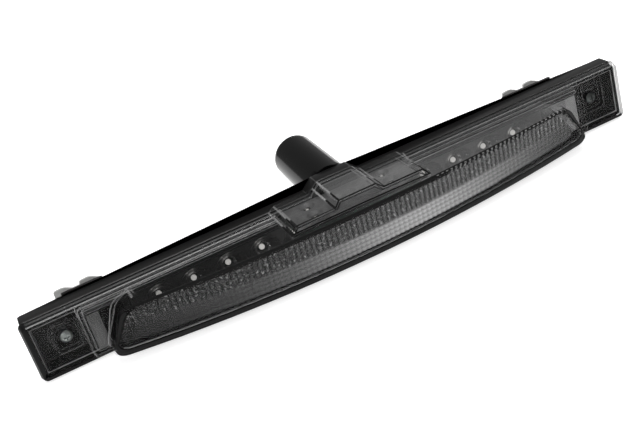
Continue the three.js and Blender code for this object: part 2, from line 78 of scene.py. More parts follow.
class Value:
    """A node output that takes part in Python arithmetic."""

    def __init__(self, graph: "Graph", socket: bpy.types.NodeSocket) -> None:
        """Keep the graph and the socket.

        Args:
            graph: The graph that the socket belongs to.
            socket: The output that this value stands for.
        """
        self.graph = graph
        self.socket = socket

    def _math(self, operation: str, first: Any, second: Any) -> "Value":
        """Add one Math node.

        Args:
            operation: The Math node's operation.
            first: Its first input, a value or a number.
            second: Its second input, a value or a number.

        Returns:
            The node's result.
        """
        return self.graph.add("ShaderNodeMath", {"operation": operation}, {0: first, 1: second})

    def __add__(self, other: Any) -> "Value":
        """Sum."""
        return self._math("ADD", self, other)

    def __radd__(self, other: Any) -> "Value":
        """Sum, reflected."""
        return self._math("ADD", other, self)

    def __sub__(self, other: Any) -> "Value":
        """Difference."""
        return self._math("SUBTRACT", self, other)

    def __rsub__(self, other: Any) -> "Value":
        """Difference, reflected."""
        return self._math("SUBTRACT", other, self)

    def __mul__(self, other: Any) -> "Value":
        """Product."""
        return self._math("MULTIPLY", self, other)

    def __rmul__(self, other: Any) -> "Value":
        """Product, reflected."""
        return self._math("MULTIPLY", other, self)

    def __truediv__(self, other: Any) -> "Value":
        """Quotient."""
        return self._math("DIVIDE", self, other)

    def __rtruediv__(self, other: Any) -> "Value":
        """Quotient, reflected."""
        return self._math("DIVIDE", other, self)

    def __pow__(self, other: Any) -> "Value":
        """Power."""
        return self._math("POWER", self, other)

    def at_least(self, other: Any) -> "Value":
        """Larger of the two."""
        return self._math("MAXIMUM", self, other)

    def at_most(self, other: Any) -> "Value":
        """Smaller of the two."""
        return self._math("MINIMUM", self, other)

    def above(self, other: Any) -> "Value":
        """One where this is larger, else nothing."""
        return self._math("GREATER_THAN", self, other)

    def sine(self) -> "Value":
        """Sine of an angle in radians."""
        return self._math("SINE", self, 0.0)

    def cosine(self) -> "Value":
        """Cosine of an angle in radians."""
        return self._math("COSINE", self, 0.0)

    def size(self) -> "Value":
        """Value without its sign."""
        return self._math("ABSOLUTE", self, 0.0)

    def wrapped(self) -> "Value":
        """Part after the decimal point."""
        return self._math("FRACT", self, 0.0)


class Graph:
    """Adds nodes to one shader or geometry tree."""

    def __init__(self, tree: bpy.types.NodeTree) -> None:
        """Work on a tree."""
        self.tree = tree

    def node(self, kind: str, settings: Optional[dict] = None,
             inputs: Optional[dict] = None) -> bpy.types.Node:
        """Add a node, set it up and feed its inputs.

        Args:
            kind: The node's type.
            settings: The node's own properties; "stops" are a ramp's.
            inputs: What its inputs take, by name or number: numbers, values or sockets.

        Returns:
            The new node.
        """
        made = self.tree.nodes.new(kind)
        for key, value in (settings or {}).items():
            if key == "stops":
                self._stops(made, value)
            else:
                setattr(made, key, value)
        for key, value in (inputs or {}).items():
            self.feed(made.inputs[key], value)
        return made

    def add(self, kind: str, settings: Optional[dict] = None, inputs: Optional[dict] = None,
            output: Any = 0) -> Value:
        """Add a node and take one of its outputs.

        Args:
            kind: The node's type.
            settings: The node's own properties.
            inputs: What its inputs take.
            output: The wanted output's name or number.

        Returns:
            The output as a value.
        """
        return Value(self, self.node(kind, settings, inputs).outputs[output])

    def feed(self, socket: bpy.types.NodeSocket, value: Any) -> None:
        """Link a value to an input, or set the input to a constant.

        Args:
            socket: The input.
            value: A value, a socket or a constant.
        """
        source = value.socket if isinstance(value, Value) else value
        if isinstance(source, bpy.types.NodeSocket):
            self.tree.links.new(source, socket)
        else:
            socket.default_value = source

    @staticmethod
    def _stops(ramp: bpy.types.Node, stops: list[tuple[float, float]]) -> None:
        """Set a colour ramp's stops.

        Args:
            ramp: The ramp node.
            stops: Position and grey level of each stop.
        """
        elements = ramp.color_ramp.elements
        while len(elements) < len(stops):
            elements.new(0.5)
        for element, (place, grey) in zip(elements, stops):
            element.position = place
            element.color = (grey, grey, grey, 1.0)


class Shade(Graph):
    """A material's shader tree with its surface and Object coordinates at hand."""

    def __init__(self, name: str) -> None:
        """Start a material.

        Args:
            name: The material's name.
        """
        self.material = bpy.data.materials.new(name)
        self.material.use_nodes = True
        super().__init__(self.material.node_tree)
        self.tree.nodes.clear()
        self.surface = self.node("ShaderNodeBsdfPrincipled")
        self.output = self.node("ShaderNodeOutputMaterial")
        self.tree.links.new(self.surface.outputs[0], self.output.inputs[0])
        self.place = self.add("ShaderNodeTexCoord", None, None, "Object")

    def noise(self, size_mm: float, detail: float = 3.0, stretch: tuple = (1.0, 1.0, 1.0)) -> Value:
        """Soft noise of a given grain.

        Args:
            size_mm: Width of one blotch in millimetres.
            detail: How much finer noise rides on it.
            stretch: How much tighter the pattern is along each axis.

        Returns:
            A value round one half.
        """
        scaled = self.add("ShaderNodeMapping", None, {"Vector": self.place, "Scale": stretch})
        inputs = {"Vector": scaled, "Scale": 1000.0 / size_mm, "Detail": detail}
        return self.add("ShaderNodeTexNoise", None, inputs, 0)

    def cells(self, size_mm: float) -> Value:
        """Distance to the nearest of many scattered points, for grain and beads."""
        return self.add("ShaderNodeTexVoronoi", None, {"Vector": self.place, "Scale": 1000.0 / size_mm}, 0)

    def axes(self) -> tuple[Value, Value, Value]:
        """The X, Y and Z of the shaded point, in metres."""
        apart = self.node("ShaderNodeSeparateXYZ", None, {0: self.place})
        return tuple(Value(self, apart.outputs[axis]) for axis in range(3))

    @staticmethod
    def rightwards(across: Value) -> Value:
        """Nothing at the left end of the lamp, rising to one towards the right."""
        return ((across + 0.1) * 6.0).at_least(0.0).at_most(1.0)

    def ramp(self, value: Value, stops: list[tuple[float, float]]) -> Value:
        """Pass a value through grey stops."""
        return self.add("ShaderNodeValToRGB", {"stops": stops}, {0: value})

    def mixed(self, share: Any, first: Any, second: Any) -> Value:
        """Mix two colours.

        Args:
            share: How much of the second colour shows.
            first: The first colour.
            second: The second colour.

        Returns:
            The mixed colour.
        """
        return self.add("ShaderNodeMix", {"data_type": "RGBA"}, {0: share, 6: first, 7: second}, 2)

    def set(self, **values: Any) -> None:
        """Set or link sockets of the surface, named with underscores for blanks."""
        for key, value in values.items():
            self.feed(self.surface.inputs[key.replace("_", " ")], value)

    def black_where(self, share: Value) -> None:
        """Turn part of the surface into plain dull black: black plastic, or painted shade.

        Args:
            share: One where it is black, nothing where the first surface shows.
        """
        inputs = {"Base Color": grey(0.004), "Roughness": 0.45, "Specular IOR Level": 0.12}
        black = self.node("ShaderNodeBsdfPrincipled", None, inputs)
        surfaces = {0: share, 1: self.surface.outputs[0], 2: black.outputs[0]}
        both = self.node("ShaderNodeMixShader", None, surfaces)
        self.tree.links.new(both.outputs[0], self.output.inputs[0])

    def relief(self, height: Value, depth_mm: float, strength: float = 0.5) -> None:
        """Send a height through a Bump node to the surface's normal."""
        inputs = {"Height": height, "Distance": depth_mm * MM, "Strength": strength}
        self.set(Normal=self.add("ShaderNodeBump", None, inputs))


Colour = tuple[float, float, float, float]

# The light box's bow, in metres: its top and front at the middle of the lamp, and how far the top
# drops and the front runs back at BOW_SPAN from the middle.
BOW_SPAN = 0.15
CREST_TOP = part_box("main_reflector")[1][2] + 0.008
CREST_DROP = 0.002
FRONT_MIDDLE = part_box("outer_lens")[0][1]
BOX_DEPTH = 0.0403
FRONT_BOW = 0.36 * BOX_DEPTH


# ---------------------------------------------------------------- finishes


@dataclass(frozen=True)
class Plastic:
    """Opaque moulded plastic or rubber, with a fine grain, blotchy gloss, dust specks and scratches."""

    name: str
    colour: Colour
    worn: Colour
    roughness: float
    grain_mm: float = 0.6
    depth_mm: float = 0.02
    dust: float = 0.12
    shine: float = 0.35

    def build(self) -> bpy.types.Material:
        """Make the material.

        Returns:
            The finished material.
        """
        shade = Shade(self.name)
        blotches = shade.noise(18.0, 4.0)
        specks = shade.ramp(shade.noise(1.1, 2.0), [(0.62, 0.0), (0.78, 1.0)])
        scratches = shade.ramp(shade.noise(3.0, 6.0, (0.25, 2.0, 3.0)), [(0.6, 0.0), (0.72, 1.0)])
        share = blotches * self.dust + specks * self.dust * 0.6 + scratches * self.dust * 0.5
        shade.set(Base_Color=shade.mixed(share, self.colour, self.worn))
        shade.set(Roughness=blotches * 0.14 + specks * 0.1 + scratches * 0.12 + (self.roughness - 0.07))
        shade.set(Specular_IOR_Level=self.shine)
        shade.relief(shade.noise(self.grain_mm, 3.0), self.depth_mm, 0.4)
        return shade.material


@dataclass(frozen=True)
class NestEdge:
    """Rounded edges of the housing, with a thin painted highlight line where its wall ends inside the lens,
    and a faint mottled paleness on every edge, part wear and part painted highlight.
    """

    name: str
    colour: Colour
    lit: Colour
    roughness: float
    wall_end_mm: float = -16.8
    inner_half_length_mm: float = 213.2
    inner_half_height_mm: float = 17.2

    def build(self) -> bpy.types.Material:
        """Make the material.

        Returns:
            The finished material.
        """
        shade = Shade(self.name)
        x, y, z = shade.axes()
        # Painted highlight: a thin pale line where the nested wall ends inside the lens.
        inside = (self.wall_end_mm * MM - y).above(0.0)
        inside = inside * (self.inner_half_length_mm * MM - x.size()).above(0.0)
        inside = inside * (self.inner_half_height_mm * MM - z.size()).above(0.0)
        # Mottle for wear and for painted highlight: the edges get a faint painted highlight everywhere, full
        # on the nested wall's end.
        wear_and_sheen = shade.ramp(shade.noise(7.0, 4.0), [(0.35, 0.4), (0.7, 1.0)])
        shade.set(Base_Color=shade.mixed((inside + 0.06) * wear_and_sheen, self.colour, self.lit))
        shade.set(Roughness=wear_and_sheen * 0.1 + self.roughness, Specular_IOR_Level=0.4)
        return shade.material


@dataclass(frozen=True)
class ClearPlastic:
    """Clear smoke-tinted plastic, with a black skirt, a painted shade line along the crest, painted
    highlights on the right rim and on dashes of the crest, and a painted sheen on the shelf and crown tops.

    The places are in millimetres: low_z and low_x bound the skirt at the bottom and the left end,
    far_rim is where the right rim starts, and the three crest depths are measured down from the
    light box's top.
    """

    name: str
    colour: Colour
    body: float
    grazing: float
    roughness: float
    ior: float
    low_z_mm: float = -17.4
    low_x_mm: float = -212.5
    far_rim_mm: float = 213.6
    crest_depth_mm: float = 1.7
    crest_front_mm: float = 1.3
    crest_line_mm: float = 0.8
    dash_mm: float = 3.5
    dashes_from_mm: float = 50.0
    shelf_depth_mm: float = 1.2
    shelf_front_mm: float = -30.0
    shelf_dark_mm: float = -70.0
    crown_base_mm: float = 26.2
    crown_front_mm: float = -22.0
    # Grey of the painted sheen on the shelf and crown tops.
    painted_sheen: float = 0.22
    lit: float = 0.5

    def build(self) -> bpy.types.Material:
        """Make the material.

        Returns:
            The finished material.
        """
        shade = Shade(self.name)
        rim = shade.add("ShaderNodeLayerWeight", None, {"Blend": 0.35}, "Facing")
        hairlines = shade.ramp(shade.noise(2.2, 7.0, (0.18, 2.4, 2.4)), [(0.63, 0.0), (0.7, 1.0)])
        haze = shade.noise(30.0, 3.0)
        x, y, z = shade.axes()
        skirt = (self.low_z_mm * MM - z).above(0.0).at_least((self.low_x_mm * MM - x).above(0.0))
        away = x * x / (BOW_SPAN * BOW_SPAN)
        over = z + away * CREST_DROP
        # Painted shade: a black line along the top front edge of the light box, over the crest.
        crest = (over - (CREST_TOP - self.crest_depth_mm * MM)).above(0.0)
        crest = crest * (FRONT_MIDDLE + self.crest_front_mm * MM + away * FRONT_BOW - y).above(0.0)
        # Painted highlight: pale dashes on the crest's upper half towards the right end, and the pale right
        # rim.
        dashes = ((x / (self.dash_mm * MM)) * math.pi).sine().size().above(0.75)
        dashes = dashes * (x - self.dashes_from_mm * MM).above(0.0)
        upper_half = (over - (CREST_TOP - self.crest_line_mm * MM)).above(0.0)
        bright = (x - self.far_rim_mm * MM).above(0.0).at_least(crest * dashes * upper_half)
        # Painted sheen: the shelf and the crown's top are paler and less clear, and the shelf's sheen fades
        # darker towards its left end.
        shelf = (over - (CREST_TOP - self.shelf_depth_mm * MM)).above(0.0)
        shelf = shelf * (self.shelf_front_mm * MM - y).above(0.0)
        shelf = shelf * ((x - self.shelf_dark_mm * MM) * 9.0).at_least(0.1).at_most(1.0)
        shelf = shelf * (haze * 0.8 + 0.6)
        block = (z - self.crown_base_mm * MM).above(0.0) * (self.crown_front_mm * MM - y).above(0.0)
        cover = (rim ** 3.0) * self.grazing + haze * 0.05 + hairlines * 0.04 + self.body
        cover = cover + shelf * 0.14 + block * 0.2
        shade.set(Alpha=(cover + bright * 0.6).at_most(1.0), IOR=self.ior, Specular_IOR_Level=0.25)
        tone = shade.mixed((shelf + block).at_most(1.0), self.colour, grey(self.painted_sheen))
        shade.set(Base_Color=shade.mixed(bright, tone, grey(self.lit)))
        shade.black_where(skirt.at_least(crest) * (1.0 - bright))
        shade.set(Roughness=haze * 0.05 + hairlines * 0.1 + self.roughness)
        return shade.material


@dataclass(frozen=True)
class PaintedEdgeLines:
    """Rounded edge of the clear moulding: a thin painted highlight line, and a black painted shade line
    round the light box's front.

    The places are in millimetres: front and sill bound the painted shade on the light box's front,
    dashes_top and dashes_from the broken painted highlight on it, boss_near, boss_far and boss_half the
    weaker painted highlight round the screw bosses, low_z and low_x the black skirt, and far_rim the right
    rim, which keeps the painted highlight.
    """

    name: str
    bright: Colour
    cover: float
    front_mm: float = -37.0
    sill_mm: float = -9.0
    dash_mm: float = 3.5
    dashes_from_mm: float = 60.0
    dashes_top_mm: float = 17.8
    boss_near_mm: float = 180.0
    boss_far_mm: float = 206.0
    boss_half_mm: float = 12.0
    low_z_mm: float = -17.4
    low_x_mm: float = -212.5
    far_rim_mm: float = 213.6
    weaker_from_mm: float = 50.0

    def build(self) -> bpy.types.Material:
        """Make the material.

        Returns:
            The finished material.
        """
        shade = Shade(self.name)
        x, y, z = shade.axes()
        # Painted shade: a black edge line round the light box's front, broken towards the right by painted
        # highlight dashes.
        front = (self.front_mm * MM - y).above(0.0) * (z - self.sill_mm * MM).above(0.0)
        dashes = ((x / (self.dash_mm * MM)) * math.pi).sine().size().above(0.8)
        dashes = dashes * (x - self.dashes_from_mm * MM).above(0.0)
        dark = front * (1.0 - dashes * (self.dashes_top_mm * MM - z).above(0.0))
        mottle = shade.noise(9.0, 3.0)
        boss = (x.size() - self.boss_near_mm * MM).above(0.0) * (self.boss_far_mm * MM - x.size()).above(0.0)
        boss = boss * (self.boss_half_mm * MM - z.size()).above(0.0)
        low = (self.low_z_mm * MM - z).above(0.0).at_least((self.low_x_mm * MM - x).above(0.0))
        low = low * (self.far_rim_mm * MM - x).above(0.0)
        # Painted highlight: the edge's pale colour, weaker round the screw bosses and towards the right end.
        weaker = 1.0 - (x - self.weaker_from_mm * MM).above(0.0) * 0.45
        cover = (mottle * 0.25 + self.cover) * (1.0 - boss * 0.6) * weaker
        shade.set(Base_Color=self.bright, Alpha=cover, Roughness=mottle * 0.15 + 0.1, IOR=1.5)
        shade.black_where(dark.at_least(low))
        return shade.material


@dataclass(frozen=True)
class RibbedOptic:
    """Frosted, beaded clear plastic whose emission is painted light, standing in for light through its ribs.

    Above level_mm the flutes and beads carry a painted sparkle that grows towards the right end;
    below it the sheet has a painted glow round glow_middle_mm that fades over glow_width_mm to both sides.
    """

    name: str
    dark: Colour
    light: Colour
    roughness: float
    pitch_mm: float = 3.5
    band_mm: float = 3.2
    bead_mm: float = 1.9
    raise_mm: float = 4.2
    sag_per_m: float = 0.13
    level_mm: float = 4.5
    glow_middle_mm: float = 40.0
    glow_width_mm: float = 100.0

    def build(self) -> bpy.types.Material:
        """Make the material.

        Returns:
            The finished material.
        """
        shade = Shade(self.name)
        beads = shade.cells(self.bead_mm)
        sparkle = shade.ramp(shade.noise(1.4, 2.0), [(0.58, 0.0), (0.66, 1.0)])
        across, _, height = shade.axes()
        sagged = height + self.raise_mm * MM - (across * across) * self.sag_per_m
        flute = ((across / (self.pitch_mm * MM)) * math.pi).sine().size() ** 1.6
        band = ((sagged / (self.band_mm * MM)) * math.pi).sine().size() ** 1.5
        lower = ((self.level_mm * MM - sagged) * 300.0).at_least(0.0).at_most(1.0)
        patches = shade.ramp(shade.noise(16.0, 2.0), [(0.35, 0.0), (0.7, 1.0)])
        # Painted light: emission stands in for light through the ribs, a glow round glow_middle_mm in the
        # lower half and a sparkle above it that grows towards the right end.
        away = (across - self.glow_middle_mm * MM) / (self.glow_width_mm * MM)
        middle_glow = 1.0 / (away * away + 1.0)
        right = shade.rightwards(across)
        low_glow = (middle_glow ** 2.0) * (band * 0.35 + 0.65) * (flute * 0.25 + 0.75) * 0.55
        high_glow = right * 0.1 + sparkle * 0.26 + patches * 0.02 + 0.02
        glow = lower * low_glow + (1.0 - lower) * high_glow * (flute * 0.8 + 0.2)
        shade.set(Base_Color=self.dark, Emission_Color=shade.mixed(glow, grey(0.0), self.light))
        shade.set(Emission_Strength=1.0, Specular_IOR_Level=0.1)
        shade.set(Roughness=sparkle * 0.2 + self.roughness)
        shade.relief(beads, 0.25, 0.35)
        return shade.material


@dataclass(frozen=True)
class Metal:
    """Plated or metallised surface with fine rubbing marks.

    shaded_mm bounds a painted shade zone at both sides of the middle, and right_gain paints light
    onto the surface towards the right end or, below nothing, paints shade there.
    """

    name: str
    colour: Colour
    dull: Colour
    roughness: float
    mark_mm: float = 3.0
    stretch: tuple = (0.3, 2.0, 2.0)
    shaded_mm: tuple = ()
    right_gain: float = 0.0

    def build(self) -> bpy.types.Material:
        """Make the material.

        Returns:
            The finished material.
        """
        shade = Shade(self.name)
        marks = shade.noise(self.mark_mm, 5.0, self.stretch)
        stains = shade.ramp(shade.noise(9.0, 3.0), [(0.4, 0.0), (0.75, 1.0)])
        tone = shade.mixed(stains * 0.7 + marks * 0.2, self.colour, self.dull)
        # Painted shade: a dark zone at both sides of the middle.
        if self.shaded_mm:
            x, _, _ = shade.axes()
            near, far = self.shaded_mm
            shaded = (x.size() - near * MM).above(0.0) * (far * MM - x.size()).above(0.0)
            tone = shade.mixed(shaded * 0.93, tone, grey(0.0))
        # Painted light, or painted shade below nothing: the surface grows lighter or darker towards the
        # right end.
        if self.right_gain:
            x, _, _ = shade.axes()
            limit = grey(1.0 if self.right_gain > 0.0 else 0.0)
            tone = shade.mixed(shade.rightwards(x) * abs(self.right_gain), tone, limit)
        shade.set(Base_Color=tone)
        shade.set(Metallic=1.0, Roughness=marks * 0.18 + stains * 0.12 + self.roughness)
        shade.relief(marks, 0.02, 0.35)
        return shade.material


@dataclass(frozen=True)
class Circuit:
    """Solder mask with paler copper tracks under it."""

    name: str
    mask: Colour
    track: Colour

    def build(self) -> bpy.types.Material:
        """Make the material.

        Returns:
            The finished material.
        """
        shade = Shade(self.name)
        settings = {"feature": "DISTANCE_TO_EDGE", "distance": "EUCLIDEAN"}
        veins = shade.add("ShaderNodeTexVoronoi", settings, {"Vector": shade.place, "Scale": 90.0}, 0)
        tracks = shade.ramp(veins, [(0.04, 1.0), (0.08, 0.0)])
        shade.set(Base_Color=shade.mixed(tracks, self.mask, self.track))
        shade.set(Roughness=shade.noise(4.0) * 0.2 + 0.3)
        shade.relief(tracks, 0.05, 0.5)
        return shade.material


@dataclass(frozen=True)
class LitDome:
    """Small pale dome over an emitter, with a little emission as a painted highlight for glints of reflected
    light.
    """

    name: str
    colour: Colour
    glow: float

    def build(self) -> bpy.types.Material:
        """Make the material.

        Returns:
            The finished material.
        """
        shade = Shade(self.name)
        core = shade.noise(1.2, 2.0)
        shade.set(Base_Color=shade.mixed(core, self.colour, grey(1.0, (1.0, 0.98, 0.9))))
        shade.set(Roughness=core * 0.1 + 0.06)
        # Painted highlight: the small emission stands in for glints of reflected light.
        shade.set(Emission_Color=grey(1.0, (1.0, 0.98, 0.95)), Emission_Strength=self.glow)
        return shade.material


@dataclass
class Palette:
    """Every finish of the lamp, made once."""

    made: dict[str, bpy.types.Material] = field(default_factory=dict)

    def get(self, finish: Any) -> bpy.types.Material:
        """Material of a finish, built when it is first asked for.

        Args:
            finish: The finish.

        Returns:
            Its material.
        """
        if finish.name not in self.made:
            self.made[finish.name] = finish.build()
        return self.made[finish.name]


def grey(level: float, tint: tuple = (1.0, 1.0, 1.0)) -> Colour:
    """Grey colour with a slight tint."""
    return (level * tint[0], level * tint[1], level * tint[2], 1.0)


BLACK = Plastic("glossy_black_plastic", grey(0.002), grey(0.008), 0.12, 2.0, 0.003, 0.05, 0.12)
SATIN = Plastic("satin_black_housing", grey(0.01), grey(0.04), 0.36, 2.5, 0.006, 0.1, 0.1)
BORDER = Plastic("black_lens_border", grey(0.003), grey(0.015), 0.22, 2.0, 0.005, 0.06, 0.12)
BEZEL = Plastic("black_inner_bezel", grey(0.004), grey(0.02), 0.3, 3.0, 0.006, 0.1, 0.3)
RUBBER = Plastic("seal_rubber", grey(0.02), grey(0.1), 0.7, 0.5, 0.05, 0.2)
FOAM = Plastic("gasket_foam", grey(0.03), grey(0.09), 0.9, 1.4, 0.4, 0.3)
CLIP_GREY = Plastic("clip_nylon", grey(0.66, (1.0, 1.0, 0.98)), grey(0.4), 0.45, 0.7, 0.03, 0.25)
CHIP = Plastic("component_black", grey(0.03), grey(0.12), 0.5, 0.4, 0.02)
# The clear lens carries painted shade, painted highlights and painted sheen, laid out by ClearPlastic.
LENS = ClearPlastic("clear_smoke_lens", grey(0.02, (0.97, 1.0, 0.99)), 0.1, 0.25, 0.04, 1.6)
# Painted highlights on the housing's rounded edges.
NEST_LINE = NestEdge("housing_edge_line", grey(0.008), grey(0.5), 0.25)
# Painted highlight and painted shade lines along the lens's rounded edges.
LENS_EDGE = PaintedEdgeLines("lens_edge_painted_lines", grey(0.5), 0.25)
# Its emission is painted light.
PRISM = RibbedOptic("beaded_ribbed_optic", grey(0.01), grey(1.0), 0.2)
# Painted shade over the reflector's end walls, and painted light towards the right end.
MIRROR = Metal("metallised_reflector", grey(0.13), grey(0.06), 0.25, 6.0,
               shaded_mm=(150.0, 170.0), right_gain=0.16)
TRAY = Metal("crown_tray", grey(0.3), grey(0.12), 0.3, 5.0)
CUP_MIRROR = Metal("bright_cup_lining", grey(0.8), grey(0.5), 0.08, 5.0)
# The black bezel's rounded edges are bright metal: a painted highlight line.
BEZEL_HIGHLIGHT = Metal("bezel_painted_highlight", grey(0.4), grey(0.3), 0.3, 6.0)
# Painted shade: the screws darken towards the right end.
ZINC = Metal("zinc_plated_steel", grey(0.5, (0.93, 1.0, 0.97)), grey(0.2, (0.92, 1.0, 0.95)), 0.26, 1.2,
             right_gain=-0.8)
TIN = Metal("tinned_terminal", grey(0.7), grey(0.4), 0.25, 1.0)
BOARD = Circuit("green_board", (0.006, 0.03, 0.018, 1.0), (0.02, 0.08, 0.045, 1.0))
EMITTER = Plastic("emitter_package", grey(0.7, (1.0, 0.97, 0.88)), grey(0.4), 0.35, 0.4, 0.01)
# The domes' emission is a painted highlight.
DOME = LitDome("emitter_dome", grey(0.7), 0.55)
CROWN_DOME = LitDome("crown_emitter_dome", grey(0.4), 0.06)
PALETTE = Palette()


# ---------------------------------------------------------------- making pieces


def dress(piece: bpy.types.Object, finish: Any) -> None:
    """Give every face of a piece one finish.

    Args:
        piece: The object.
        finish: Its finish.
    """
    if piece.data.materials:
        for index in range(len(piece.data.materials)):
            piece.material_slots[index].material = PALETTE.get(finish)
    else:
        piece.data.materials.append(PALETTE.get(finish))


def settle(piece: bpy.types.Object, body: Body, replaced: tuple[str, ...] = ()) -> None:
    """Hang a finished piece on its body.

    Args:
        piece: The object.
        body: The body it rides on.
        replaced: The CAD nodes it stands for.
    """
    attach(piece, body.value)
    if replaced:
        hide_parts(*replaced)
    LOG.info("%s: %d faces on %s", piece.name, len(piece.data.polygons), body.value)


def linked(name: str, mesh: bpy.types.Mesh) -> bpy.types.Object:
    """Put a mesh in the scene as an object at the origin.

    Args:
        name: The object's name.
        mesh: Its mesh.

    Returns:
        The object.
    """
    piece = bpy.data.objects.new(name, mesh)
    bpy.context.scene.collection.objects.link(piece)
    return piece


def baked(carrier: bpy.types.Object, name: str) -> bpy.types.Object:
    """Turn an object with its modifiers into a plain mesh object.

    Args:
        carrier: The object with live modifiers; it is removed.
        name: The new object's name.

    Returns:
        The plain object.
    """
    graph = bpy.context.evaluated_depsgraph_get()
    mesh = bpy.data.meshes.new_from_object(carrier.evaluated_get(graph))
    mesh.name = name
    carrier.modifiers.clear()
    old = carrier.data
    bpy.data.objects.remove(carrier)
    bpy.data.meshes.remove(old)
    return linked(name, mesh)


def smooth(piece: bpy.types.Object, degrees: float = 28.0) -> None:
    """Shade a piece smooth, but keep edges sharper than an angle."""
    piece.data.shade_smooth()
    piece.data.set_sharp_from_angle(angle=math.radians(degrees))


@dataclass
class RoundedCopy:
    """Copy of a CAD node whose hard edges are rounded off."""

    node: str
    width_mm: float
    segments: int = 2
    angle: float = 30.0

    def build(self, name: str, finish: Any, edge: Any = None) -> bpy.types.Object:
        """Make the copy.

        Args:
            name: The new object's name.
            finish: The finish of its faces.
            edge: The finish of its rounded edges, where it differs.

        Returns:
            The rounded object.
        """
        shape = bmesh.new()
        shape.from_mesh(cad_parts[self.node].data)
        bmesh.ops.remove_doubles(shape, verts=shape.verts, dist=2e-6)
        bmesh.ops.dissolve_limit(shape, angle_limit=math.radians(0.4), verts=shape.verts, edges=shape.edges)
        bmesh.ops.dissolve_degenerate(shape, dist=1.5e-4, edges=shape.edges)
        mesh = bpy.data.meshes.new(name)
        shape.to_mesh(mesh)
        shape.free()
        mesh.materials.clear()
        carrier = linked(name + "_carrier", mesh)
        mesh.materials.append(PALETTE.get(finish))
        if edge:
            mesh.materials.append(PALETTE.get(edge))
        for polygon in mesh.polygons:
            polygon.material_index = 0
        bevel = carrier.modifiers.new("rounding", "BEVEL")
        bevel.width = self.width_mm * MM
        bevel.segments = self.segments
        bevel.limit_method = "ANGLE"
        bevel.angle_limit = math.radians(self.angle)
        bevel.use_clamp_overlap = False
        bevel.material = 1 if edge else -1
        piece = baked(carrier, name)
        smooth(piece)
        return piece


class Recipe(Graph):
    """A Geometry Nodes tree with named sizes that ends in real faces with a material."""

    def __init__(self, name: str, sizes: dict[str, float], finish: Any) -> None:
        """Start a tree.

        Args:
            name: The tree's and the piece's name.
            sizes: Named sizes in millimetres, or plain numbers.
            finish: The finish that the tree sets.
        """
        super().__init__(bpy.data.node_groups.new(name, "GeometryNodeTree"))
        self.name = name
        self.sizes = sizes
        self.finish = finish
        for size in sizes:
            self.tree.interface.new_socket(name=size, in_out="INPUT", socket_type="NodeSocketFloat")
        self.tree.interface.new_socket(name="Geometry", in_out="OUTPUT", socket_type="NodeSocketGeometry")
        self.source = self.node("NodeGroupInput")
        self.sink = self.node("NodeGroupOutput")

    def size(self, name: str) -> Value:
        """One of the tree's named sizes."""
        return Value(self, self.source.outputs[name])

    def point(self, x: Any, y: Any, z: Any) -> Value:
        """A vector from three values."""
        return self.add("ShaderNodeCombineXYZ", None, {0: x, 1: y, 2: z})

    def axes(self) -> tuple[Value, Value, Value]:
        """The X, Y and Z of each point of the geometry."""
        apart = self.node("ShaderNodeSeparateXYZ", None, {0: self.add("GeometryNodeInputPosition")})
        return tuple(Value(self, apart.outputs[axis]) for axis in range(3))

    def moved(self, geometry: Value, place: Value) -> Value:
        """Put every point of a geometry at a place."""
        return self.add("GeometryNodeSetPosition", None, {"Geometry": geometry, "Position": place})

    def copies(self, points: Value, shape: Value) -> Value:
        """Put a copy of a shape at every point."""
        return self.add("GeometryNodeInstanceOnPoints", None, {"Points": points, "Instance": shape})

    def spots(self, places: list[Vector]) -> Value:
        """Points at given places.

        Args:
            places: The places.

        Returns:
            One point for each place.
        """
        join = self.node("GeometryNodeJoinGeometry")
        for place in places:
            inputs = {"Count": 1, "Start Location": place}
            point = self.add("GeometryNodeMeshLine", {"mode": "OFFSET"}, inputs)
            self.tree.links.new(point.socket, join.inputs[0])
        return Value(self, join.outputs[0])

    def build(self, shape: Value, crease: float = 28.0) -> bpy.types.Object:
        """Close the tree and turn its result into a plain mesh.

        Args:
            shape: The finished geometry.
            crease: Edges sharper than this many degrees stay sharp.

        Returns:
            The new object.
        """
        real = self.add("GeometryNodeRealizeInstances", None, {0: shape})
        inputs = {"Geometry": real, "Material": PALETTE.get(self.finish)}
        dressed = self.add("GeometryNodeSetMaterial", None, inputs)
        self.feed(self.sink.inputs[0], dressed)
        carrier = linked(self.name + "_carrier", bpy.data.meshes.new(self.name + "_seed"))
        growth = carrier.modifiers.new("growth", "NODES")
        growth.node_group = self.tree
        for item in self.tree.interface.items_tree:
            if item.in_out == "INPUT":
                growth[item.identifier] = float(self.sizes[item.name])
        piece = baked(carrier, self.name)
        smooth(piece, crease)
        return piece


def middle(node: str) -> Vector:
    """Centre of a CAD node's box."""
    low, high = (Vector(corner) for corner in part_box(node))
    return (low + high) / 2


# ---------------------------------------------------------------- the lens and its trim


